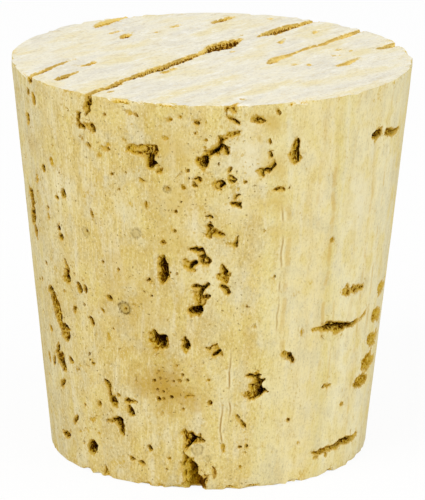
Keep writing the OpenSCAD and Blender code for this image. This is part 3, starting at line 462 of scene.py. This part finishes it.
def build_skin(node):
    """The bare frustum and the object of the skin, with every pore sunk into it."""
    body = Frustum(node)
    points, on_side, quads = skin_grid(body)
    grid = Neighbours(quads, len(points))
    shift = sum(size * np.stack([noise(points, wave, seed + 100 * k) for k in range(3)], -1)
                for size, wave, seed in WARP)
    shift *= np.where(on_side, 1.0, END_WARP)[:, None]
    warped = slide(body, points, on_side, shift)
    depth = ragged_pores(solid_depth(body, node, warped, on_side), points, on_side, grid)
    depth = bridged(body, points, depth)
    depth = np.maximum(depth, scattered_marks(points, on_side))
    depth = np.maximum(depth, small_pores(body, points, on_side))
    mouth = ease(depth, *SKIN_MOUTH)

    rho = np.hypot(points[:, 0], points[:, 1])
    to_rim = np.where(on_side, np.minimum(points[:, 2], body.length - points[:, 2]),
                      body.radius(points[:, 2]) - rho)
    depth, golden = worn(points, to_rim, depth)
    fringe = np.maximum(grid.blur(mouth, 0.16), golden)
    way, limit = inward(body, points, on_side)
    skin = points + (way + lean(points, on_side, to_rim)) * np.minimum(depth, limit)[:, None]
    flat = 1 - ease(grid.blur(mouth, 0.3), 0.02, 0.15)
    return body, skin_object(skin, quads, fringe, flat)


def skin_object(points, quads, fringe, flat):
    """The skin's object. Its material reads fringe, and it may be thinned where it is flat."""
    mesh = bpy.data.meshes.new("stopper_skin")
    mesh.from_pydata((points * MM).tolist(), [], quads.tolist())
    mesh.update()
    attribute = mesh.attributes.new("fringe", "FLOAT", "POINT")
    attribute.data.foreach_set("value", fringe.astype(np.float32))
    obj = bpy.data.objects.new("stopper_skin", mesh)
    bpy.context.scene.collection.objects.link(obj)
    group = obj.vertex_groups.new(name="flat")
    steps = np.round(flat * FLAT_STEPS).astype(int)
    for step in range(1, FLAT_STEPS + 1):
        group.add(np.nonzero(steps == step)[0].tolist(), step / FLAT_STEPS, "REPLACE")
    return obj


def thin_out(obj):
    """The mesh with fewer triangles where it is flat."""
    faces = 2 * len(obj.data.polygons)
    modifier = obj.modifiers.new("thin_out", "DECIMATE")
    modifier.ratio = TRIANGLES / faces
    modifier.use_collapse_triangulate = True
    modifier.vertex_group = "flat"
    modifier.vertex_group_factor = KEEP_FACTOR
    graph = bpy.context.evaluated_depsgraph_get()
    mesh = bpy.data.meshes.new_from_object(obj.evaluated_get(graph))
    obj.modifiers.clear()
    obj.data = mesh
    obj.vertex_groups.clear()
    mesh.shade_smooth()
    mesh.set_sharp_from_angle(angle=SHARP_ANGLE)


# ---------------------------------------------------------------- material

class Nodes:
    """Shader nodes made one from another. A value is a socket, a number or a tuple."""

    def __init__(self, name):
        self.material = bpy.data.materials.new(name)
        self.material.use_nodes = True
        self.tree = self.material.node_tree
        self.tree.nodes.clear()

    def put(self, socket, value):
        """Link a socket to the value, or store the value in it."""
        if isinstance(value, bpy.types.NodeSocket):
            self.tree.links.new(value, socket)
        else:
            socket.default_value = value

    def add(self, kind, inputs=(), **settings):
        """A node with these settings and inputs."""
        made = self.tree.nodes.new("ShaderNode" + kind)
        for key, value in settings.items():
            setattr(made, key, value)
        for key, value in dict(inputs).items():
            self.put(made.inputs[key], value)
        return made

    def math(self, operation, *values):
        """The result of an arithmetic operation on one to three values."""
        made = self.add("Math", operation=operation)
        for k, value in enumerate(values):
            self.put(made.inputs[k], value)
        return made.outputs[0]

    def ease(self, value, low, high, to_low=0.0, to_high=1.0):
        """to_low where the value is low, to_high where it is high and smooth between."""
        made = self.add("MapRange", {0: value, 1: low, 2: high, 3: to_low, 4: to_high},
                        interpolation_type="SMOOTHSTEP")
        return made.outputs[0]

    def mix(self, share, first, second, blend="MIX"):
        """The first colour with a share of the second laid over it."""
        made = self.add("Mix", data_type="RGBA", blend_type=blend)
        for k, value in ((0, share), (6, first), (7, second)):
            self.put(made.inputs[k], value)
        return made.outputs[2]

    def scaled(self, vector, scale):
        """A vector multiplied axis by axis."""
        made = self.add("VectorMath", operation="MULTIPLY")
        self.put(made.inputs[0], vector)
        self.put(made.inputs[1], scale)
        return made.outputs[0]

    def noise(self, vector, cells, detail=2.0, roughness=0.5, distortion=0.0):
        """Noise from 0 to 1, with so many cells in a millimetre along each axis."""
        made = self.add("TexNoise", {"Vector": self.scaled(vector, cells), "Scale": 1.0,
                                     "Detail": detail, "Roughness": roughness, "Distortion": distortion})
        return made.outputs[0]

    def grained(self, colour, noise, amount, light):
        """A colour made darker where a noise is high, and nearer to a light one where it is low."""
        dark = self.math("MULTIPLY", self.ease(noise, 0.5, 0.75), amount)
        pale = self.math("MULTIPLY", self.ease(noise, 0.5, 0.25), amount)
        colour = self.mix(dark, colour, self.mix(1.0, colour, GRAIN_SHADE, "MULTIPLY"))
        return self.mix(pale, colour, srgb(*light))

    def ramp(self, value, stops):
        """The colour at a value from 0 to 1, between stops of (place, colour)."""
        made = self.add("ValToRGB", {0: value})
        ramp = made.color_ramp
        while len(ramp.elements) < len(stops):
            ramp.elements.new(1.0)
        for element, (place, colour) in zip(ramp.elements, stops):
            element.position = place
            element.color = colour
        return made.outputs[0]


class Place:
    """Where a point of the cork is: sockets in millimetres and degrees.

    depth is how far it lies under the bare frustum, and under_side how far under the side alone.
    in_end is 1 where an end is nearer than the side, on_end 1 on the faces of the ends, and steep
    1 on the walls of pores. busy is high on the side where it is cut across the pores.
    """

    def __init__(self, n, body):
        texture = n.add("TexCoord")
        self.here = n.scaled(texture.outputs["Object"], (1 / MM,) * 3)
        self.x, self.y, self.z = n.add("SeparateXYZ", {0: self.here}).outputs
        normal = n.add("SeparateXYZ", {0: texture.outputs["Normal"]}).outputs
        facing = normal[2]
        rho = n.math("SQRT", n.math("ADD", n.math("MULTIPLY", self.x, self.x),
                                    n.math("MULTIPLY", self.y, self.y)))
        slope = (body.r_top - body.r_foot) / body.length
        wall = n.math("MULTIPLY_ADD", self.z, slope, body.r_foot)
        under_top = n.math("SUBTRACT", body.length, self.z)
        under_end = n.math("MINIMUM", under_top, self.z)
        under_side = n.math("SUBTRACT", wall, rho)
        self.depth = n.math("MINIMUM", under_side, under_end)
        self.under_side = under_side
        self.in_end = n.ease(n.math("SUBTRACT", under_side, under_end), -0.2, 0.2)
        self.on_end = n.math("MULTIPLY", n.ease(n.math("ABSOLUTE", facing), 0.55, 0.85),
                             n.ease(under_end, 0.5, 0.2))
        out_x = n.math("DIVIDE", n.math("MULTIPLY", normal[0], self.x), rho)
        out_y = n.math("DIVIDE", n.math("MULTIPLY", normal[1], self.y), rho)
        outward = n.math("MAXIMUM", n.math("ADD", out_x, out_y), n.math("ABSOLUTE", facing))
        self.steep = n.ease(outward, 0.9, 0.45)
        across = n.math("DIVIDE", n.math("ABSOLUTE", self.y), rho)
        self.busy = n.math("MULTIPLY", n.ease(across, 0.3, 0.7, 0.3, 1.0),
                           n.math("MULTIPLY_ADD", self.on_end, -0.6, 1.0))
        turn = n.math("ARCTAN2", self.x, n.math("MULTIPLY", self.y, -1.0))
        self.azimuth = n.math("MULTIPLY", turn, 180 / math.pi)


def side_colour(n, at):
    """The side: bands of lighter and darker years, paler about +X partly as painted light, mottled and finely
    streaked.
    """
    sway = n.noise(at.here, (0.12, 0.12, 0.09), 2.0)
    swayed = n.math("MULTIPLY_ADD", sway, 6.0, n.math("ADD", at.azimuth, -3.0))
    stops = [((azimuth + 180) / 360, srgb(*colour)) for azimuth, colour in AROUND]
    colour = n.ramp(n.math("MULTIPLY_ADD", swayed, 1 / 360, 0.5), stops)
    mottle = n.noise(at.here, (1.1, 1.1, 0.8), 4.0, 0.6, 0.4)
    clouds = n.noise(at.here, (0.3, 0.3, 0.16), 3.0, 0.55)
    streaks = n.noise(at.here, (1.0, 1.0, 0.12), 3.0, 0.6, 0.3)
    fine = n.noise(at.here, (5.5, 5.5, 3.5), 2.0, 0.7)
    dark = n.math("ADD", n.ease(clouds, 0.48, 0.7, 0.0, 0.4), n.ease(mottle, 0.5, 0.72, 0.0, 0.5))
    pale = n.math("ADD", n.ease(clouds, 0.5, 0.3, 0.0, 0.5), n.ease(mottle, 0.5, 0.25, 0.0, 0.4))
    tints = n.noise(at.here, (0.55, 0.55, 0.45), 2.0, 0.5)
    colour = n.mix(n.ease(tints, 0.48, 0.68, 0.0, 0.55), colour, srgb(*YELLOWED))
    colour = n.mix(n.ease(tints, 0.52, 0.32, 0.0, 0.5), colour, srgb(*GREYED))
    colour = n.mix(n.math("MULTIPLY", dark, at.busy), colour, srgb(*MOTTLE_DARK))
    pale = n.math("MULTIPLY", pale, n.math("MULTIPLY_ADD", at.busy, 0.5, 0.3))
    colour = n.mix(pale, colour, srgb(*MOTTLE_PALE))
    colour = n.mix(n.ease(streaks, 0.5, 0.72, 0.0, 0.4), colour, srgb(*STREAK_DARK))
    colour = n.mix(n.ease(streaks, 0.5, 0.28, 0.0, 0.35), colour, srgb(*STREAK_PALE))
    colour = scratches(n, at, colour)
    colour = n.grained(colour, fine, n.math("MULTIPLY_ADD", at.busy, 0.3, 0.4), GRAIN_PALE)
    return year_lines(n, at, colour), mottle, fine


def scratches(n, at, colour):
    """Fine upright marks of the blade, light and dark, that lean a little to the right."""
    across = n.math("MULTIPLY_ADD", at.z, -0.35, n.math("MULTIPLY", at.azimuth, 1.3))
    place = n.add("CombineXYZ", {0: across, 1: at.z}).outputs[0]
    marks = n.noise(place, (1.0, 0.3, 1.0), 2.0, 0.7)
    areas = n.ease(n.noise(at.here, (0.13, 0.13, 0.13), 2.0), 0.38, 0.56)
    areas = n.math("MULTIPLY", areas, n.ease(at.azimuth, 24, 34, 1.3, 0.5))
    dark = n.math("MULTIPLY", n.ease(marks, 0.54, 0.7, 0.0, 0.5), areas)
    pale = n.math("MULTIPLY", n.ease(marks, 0.46, 0.3, 0.0, 0.6), areas)
    return n.mix(pale, n.mix(dark, colour, srgb(*SCRATCH_DARK)), srgb(*SCRATCH_PALE))


def year_lines(n, at, colour):
    """Brown lines that follow the edges of years and come and go along them; the narrow ones get a painted
    highlight on both sides.
    """
    waver = n.math("MULTIPLY_ADD", n.noise(at.here, (0.1, 0.1, 0.35), 2.0), 3.0, -1.5)
    place = n.math("ADD", at.azimuth, waver)
    broken = n.noise(at.here, (0.2, 0.2, 0.6), 2.0)
    for azimuth, lowest, highest, width, strength in YEAR_LINES:
        off = n.math("ABSOLUTE", n.math("SUBTRACT", place, azimuth))
        along = n.math("MULTIPLY", n.ease(at.z, lowest, lowest + 3), n.ease(at.z, highest, highest - 3))
        here = n.math("MULTIPLY", along, n.ease(broken, 0.4, 0.6, 0.1, 1.0))
        if width < NARROW:
            # painted highlight along both sides of a narrow thread
            edge = n.math("MULTIPLY", n.ease(off, 1.3, 0.6, 0.0, 0.5), here)
            colour = n.mix(edge, colour, srgb(*THREAD_HIGHLIGHT))
        line = n.math("MULTIPLY", n.ease(off, 0.2 + width, 0.3 * width, 0.0, strength), here)
        colour = n.mix(line, colour, srgb(*(THREAD if width < NARROW else YEAR_EDGE)))
    return colour


def end_colour(n, at):
    """The ends: nearly white, with ochre clouds drawn out along the pores."""
    clouds = n.noise(at.here, (0.4, 0.13, 0.4), 3.0, 0.55)
    threads = n.noise(at.here, (1.4, 0.5, 1.4), 3.0, 0.65)
    fine = n.noise(at.here, (4.5, 2.5, 4.5), 3.0, 0.7)
    colour = n.mix(n.ease(clouds, 0.46, 0.7, 0.0, 0.75), srgb(*END_PLAIN), srgb(*END_CLOUD))
    colour = n.mix(n.ease(clouds, 0.5, 0.32, 0.0, 0.8), colour, srgb(*END_GREY))
    colour = n.mix(n.ease(threads, 0.54, 0.72, 0.0, 0.7), colour, srgb(*END_DARK))
    colour = n.mix(n.ease(threads, 0.46, 0.3, 0.0, 0.7), colour, srgb(*END_PALE))
    return n.grained(colour, fine, 0.5, END_GRAIN)


def specks(n, at, skin, stained):
    """Small brown points and ochre crumbs, with more of them where the cork is stained."""
    shaken = n.add("VectorMath", operation="ADD")
    wobble = n.add("TexNoise", {"Vector": at.here, "Scale": 3.0, "Detail": 2.0})
    n.put(shaken.inputs[0], at.here)
    n.put(shaken.inputs[1], n.scaled(wobble.outputs["Color"], (0.45,) * 3))
    for scale, size, colour, strength, gain in SPECKS:
        common = 0.2 if gain > 1 else at.busy
        cells = n.add("TexVoronoi", {"Vector": shaken.outputs[0], "Scale": scale}, feature="F1")
        chance = n.add("SeparateColor", {0: cells.outputs["Color"]}).outputs[0]
        chance = n.math("MULTIPLY", chance, n.math("MULTIPLY_ADD", stained, gain, common))
        limit = n.ease(chance, 0.65, 0.95, 0.0, size * scale)
        edge = n.math("SUBTRACT", limit, cells.outputs["Distance"])
        skin = n.mix(n.ease(edge, 0.0, 0.05, 0.0, strength), skin, srgb(*colour))
    return skin


def from_place(n, at, body, azimuth, height):
    """How far a point is from a place on the side."""
    away = n.add("VectorMath", operation="DISTANCE")
    n.put(away.inputs[0], at.here)
    n.put(away.inputs[1], body.side_place(azimuth, height))
    return away.outputs["Value"]


def stains(n, at, body, skin, fine):
    """Patches of another colour and the faint rings of closed pores, and where it is stained brown."""
    stained = 0.0
    rough = n.noise(at.here, (0.55, 0.55, 0.7), 4.0, 0.65)
    for azimuth, height, size, strength, tint in PATCHES:
        ragged = n.math("MULTIPLY_ADD", rough, 2.4 * size, from_place(n, at, body, azimuth, height))
        share = n.ease(ragged, 2.5 * size, 1.1 * size, 0.0, strength)
        skin = n.mix(share, skin, srgb(*tint))
        if tint == BROWN:
            stained = n.math("MAXIMUM", stained, share)
    for azimuth, height, radius, strength in RINGS:
        off = n.math("SUBTRACT", from_place(n, at, body, azimuth, height), radius + 0.4)
        off = n.math("MULTIPLY_ADD", rough, 0.8, off)
        skin = n.mix(n.ease(off, 0.1, -0.1, 0.0, 0.7 * strength), skin, srgb(*RING_FILL))
        broken = n.ease(fine, 0.35, 0.6, 0.35 * strength, strength)
        ring = n.math("MULTIPLY", n.ease(n.math("ABSOLUTE", off), 0.22, 0.0), broken)
        skin = n.mix(ring, skin, srgb(*RING_EDGE))
    return skin, stained


def inside_colour(n, at, body, fine):
    """The pores: brown walls, ochre floors, nearly black where deep. The dark walls and depths are partly
    brown tissue and partly painted shade.
    """
    in_chip = n.ease(from_place(n, at, body, *CHIP[:2]), CHIP[2], 0.8 * CHIP[2])
    # in the open chip, less of the painted shade that comes with depth
    deep = n.math("MULTIPLY", at.under_side, n.math("MULTIPLY", in_chip, 0.6))
    deep = n.math("MULTIPLY_ADD", at.depth, n.math("SUBTRACT", 1.0, in_chip), deep)
    calm = n.math("MAXIMUM", n.math("MULTIPLY", in_chip, 0.7), n.math("MULTIPLY", at.in_end, 0.5))
    uneven = n.math("MULTIPLY", n.ease(fine, 0.35, 0.65, -0.6, 0.6), n.math("SUBTRACT", 1.0, calm))
    share = n.math("DIVIDE", n.math("MULTIPLY", deep, n.math("ADD", uneven, 1.0)), PORE_REACH)
    # painted shade: the chip's right half is drawn darker, as if it lay in shade
    chip_painted_shade = n.math("MULTIPLY", in_chip, n.ease(at.azimuth, CHIP[0] + 0.5, CHIP[0] + 3.5, -0.1, 0.35))
    share = n.math("ADD", share, chip_painted_shade)
    # the walls of pores are drawn darker, partly as dry brown tissue and partly as painted shadow
    crumbs_and_wall_shade = n.math("MULTIPLY_ADD", at.steep, 0.15, 0.03)
    crumbs_and_wall_shade = n.math("MULTIPLY", crumbs_and_wall_shade, n.math("SUBTRACT", 1.0, at.in_end))
    crumbs_and_wall_shade = n.math("MULTIPLY_ADD", uneven, 0.3, crumbs_and_wall_shade)
    share = n.math("ADD", share, n.math("MULTIPLY", crumbs_and_wall_shade, n.ease(at.depth, 0.1, 0.4)))
    share = n.math("MULTIPLY", share, n.ease(at.azimuth, *FADE, 1.0, 0.5))
    of_side = n.ramp(share, [(place, srgb(*colour)) for place, colour in INSIDE])
    of_end = n.ramp(share, [(place, srgb(*colour)) for place, colour in INSIDE_ENDS])
    return n.mix(n.math("MULTIPLY", at.in_end, n.math("SUBTRACT", 1.0, in_chip)), of_side, of_end)


def cork_material(body):
    """Cork: a matt skin with golden lips to its pores, and their dark insides, which are partly painted
    shade.
    """
    n = Nodes("cork")
    at = Place(n, body)
    side, mottle, fine = side_colour(n, at)
    side, stained = stains(n, at, body, side, fine)
    skin = n.mix(at.on_end, side, end_colour(n, at))
    skin = specks(n, at, skin, stained)
    fringe = n.add("Attribute", attribute_name="fringe").outputs["Fac"]
    crumbs = n.math("ADD", n.math("SUBTRACT", mottle, 0.5), n.math("SUBTRACT", fine, 0.5))
    torn = n.math("MULTIPLY_ADD", crumbs, 0.7, fringe)
    golden = n.mix(at.on_end, srgb(*LIP), srgb(*LIP_OF_END))
    skin = n.mix(n.ease(torn, 0.1, 0.38, 0.0, 0.9), skin, golden)
    torn_depth = n.math("MULTIPLY_ADD", crumbs, 0.35, at.depth)
    colour = n.mix(n.ease(torn_depth, 0.1, 0.26), skin, inside_colour(n, at, body, fine))

    grain = n.noise(at.here, (9.0, 9.0, 4.0), 2.0, 0.6)
    height = n.math("MULTIPLY_ADD", mottle, 0.6, n.math("MULTIPLY_ADD", fine, 0.8, grain))
    bump = n.add("Bump", {"Height": height, "Strength": 0.8, "Distance": 0.08 * MM})
    shader = n.add("BsdfPrincipled", {"Base Color": colour, "Normal": bump.outputs[0],
                                      "Roughness": 0.85, "Specular IOR Level": 0.04})
    output = n.add("OutputMaterial")
    n.put(output.inputs[0], shader.outputs[0])
    return n.material


# ---------------------------------------------------------------- stage, lamps and camera

def build_floor():
    """A floor that is plain white to the camera, but for the stopper's shadow."""
    half = FLOOR_HALF
    mesh = bpy.data.meshes.new("floor")
    mesh.from_pydata([(-half, -half, 0), (half, -half, 0), (half, half, 0), (-half, half, 0)], [],
                     [(0, 1, 2, 3)])
    floor = bpy.data.objects.new("floor", mesh)
    bpy.context.scene.collection.objects.link(floor)
    n = Nodes("floor")
    path = n.add("LightPath")
    seen = n.math("MAXIMUM", n.math("MAXIMUM", path.outputs["Is Camera Ray"], path.outputs["Is Glossy Ray"]),
                  path.outputs["Is Transmission Ray"])
    lit = n.add("BsdfDiffuse", {"Color": (FLOOR_GREY, FLOOR_GREY, FLOOR_GREY, 1)})
    white = n.add("Emission", {"Color": (1, 1, 1, 1), "Strength": 1.0})
    blend = n.add("MixShader")
    n.put(blend.inputs[0], n.math("MULTIPLY", seen, FLOOR_GLOW))
    n.put(blend.inputs[1], lit.outputs[0])
    n.put(blend.inputs[2], white.outputs[0])
    output = n.add("OutputMaterial")
    n.put(output.inputs[0], blend.outputs[0])
    mesh.materials.append(n.material)


def build_world():
    """Even light from all sides, and white where the camera sees past the floor."""
    world = bpy.data.worlds.new("world")
    bpy.context.scene.world = world
    world.use_nodes = True
    nodes, links = world.node_tree.nodes, world.node_tree.links
    nodes.clear()
    path = nodes.new("ShaderNodeLightPath")
    ambient = nodes.new("ShaderNodeBackground")
    ambient.inputs[1].default_value = AMBIENT
    shown = nodes.new("ShaderNodeBackground")
    mix = nodes.new("ShaderNodeMixShader")
    output = nodes.new("ShaderNodeOutputWorld")
    links.new(path.outputs["Is Camera Ray"], mix.inputs[0])
    links.new(ambient.outputs[0], mix.inputs[1])
    links.new(shown.outputs[0], mix.inputs[2])
    links.new(mix.outputs[0], output.inputs[0])


def direction(azimuth, elevation):
    """Unit vector from the stopper towards that side, in the frame's azimuths."""
    a, e = math.radians(azimuth), math.radians(elevation)
    return Vector((math.sin(a) * math.cos(e), -math.cos(a) * math.cos(e), math.sin(e)))


def place_lamp(name, azimuth, elevation, distance, size, power):
    """A round lamp that shines at the stopper, its azimuth counted from the camera's."""
    lamp = bpy.data.lights.new(name, "AREA")
    lamp.shape = "DISK"
    lamp.size = size
    lamp.energy = power
    obj = bpy.data.objects.new(name, lamp)
    away = direction(CAMERA_AZIMUTH + azimuth, elevation)
    obj.location = away * distance
    obj.rotation_euler = away.to_track_quat("Z", "Y").to_euler()
    bpy.context.scene.collection.objects.link(obj)


def place_camera(body):
    """The camera, aimed at the middle of the stopper."""
    camera = bpy.data.cameras.new("camera")
    camera.sensor_width = SENSOR
    camera.sensor_fit = "HORIZONTAL"
    camera.lens = FOCAL_IN_WIDTHS * SENSOR
    camera.clip_end = SIGHT_LIMIT
    obj = bpy.data.objects.new("camera", camera)
    back = direction(CAMERA_AZIMUTH, CAMERA_ELEVATION)
    right = direction(CAMERA_AZIMUTH + 90, 0)
    up = back.cross(right)
    aim = Vector((0, 0, body.length / 2)) + AIM_RIGHT * right + AIM_UP * up
    obj.matrix_world = back.to_track_quat("Z", "Y").to_matrix().to_4x4()
    obj.location = (aim + CAMERA_DISTANCE * back) * MM
    obj.rotation_euler.rotate_axis("Z", math.radians(CAMERA_ROLL))
    bpy.context.scene.collection.objects.link(obj)
    bpy.context.scene.camera = obj


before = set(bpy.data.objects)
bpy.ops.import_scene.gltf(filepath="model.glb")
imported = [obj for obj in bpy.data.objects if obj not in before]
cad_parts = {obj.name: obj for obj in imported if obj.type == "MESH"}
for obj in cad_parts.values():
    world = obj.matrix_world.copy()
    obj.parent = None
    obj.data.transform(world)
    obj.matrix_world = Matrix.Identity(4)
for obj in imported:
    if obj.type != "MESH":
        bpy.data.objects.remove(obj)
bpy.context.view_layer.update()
body, skin = build_skin(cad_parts[NODE])
thin_out(skin)
skin.data.materials.append(cork_material(body))
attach(skin, "root")
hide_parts(NODE)

bpy.context.scene.view_settings.view_transform = "Standard"
build_floor()
build_world()
for lamp in LAMPS:
    place_lamp(*lamp)
place_camera(body)
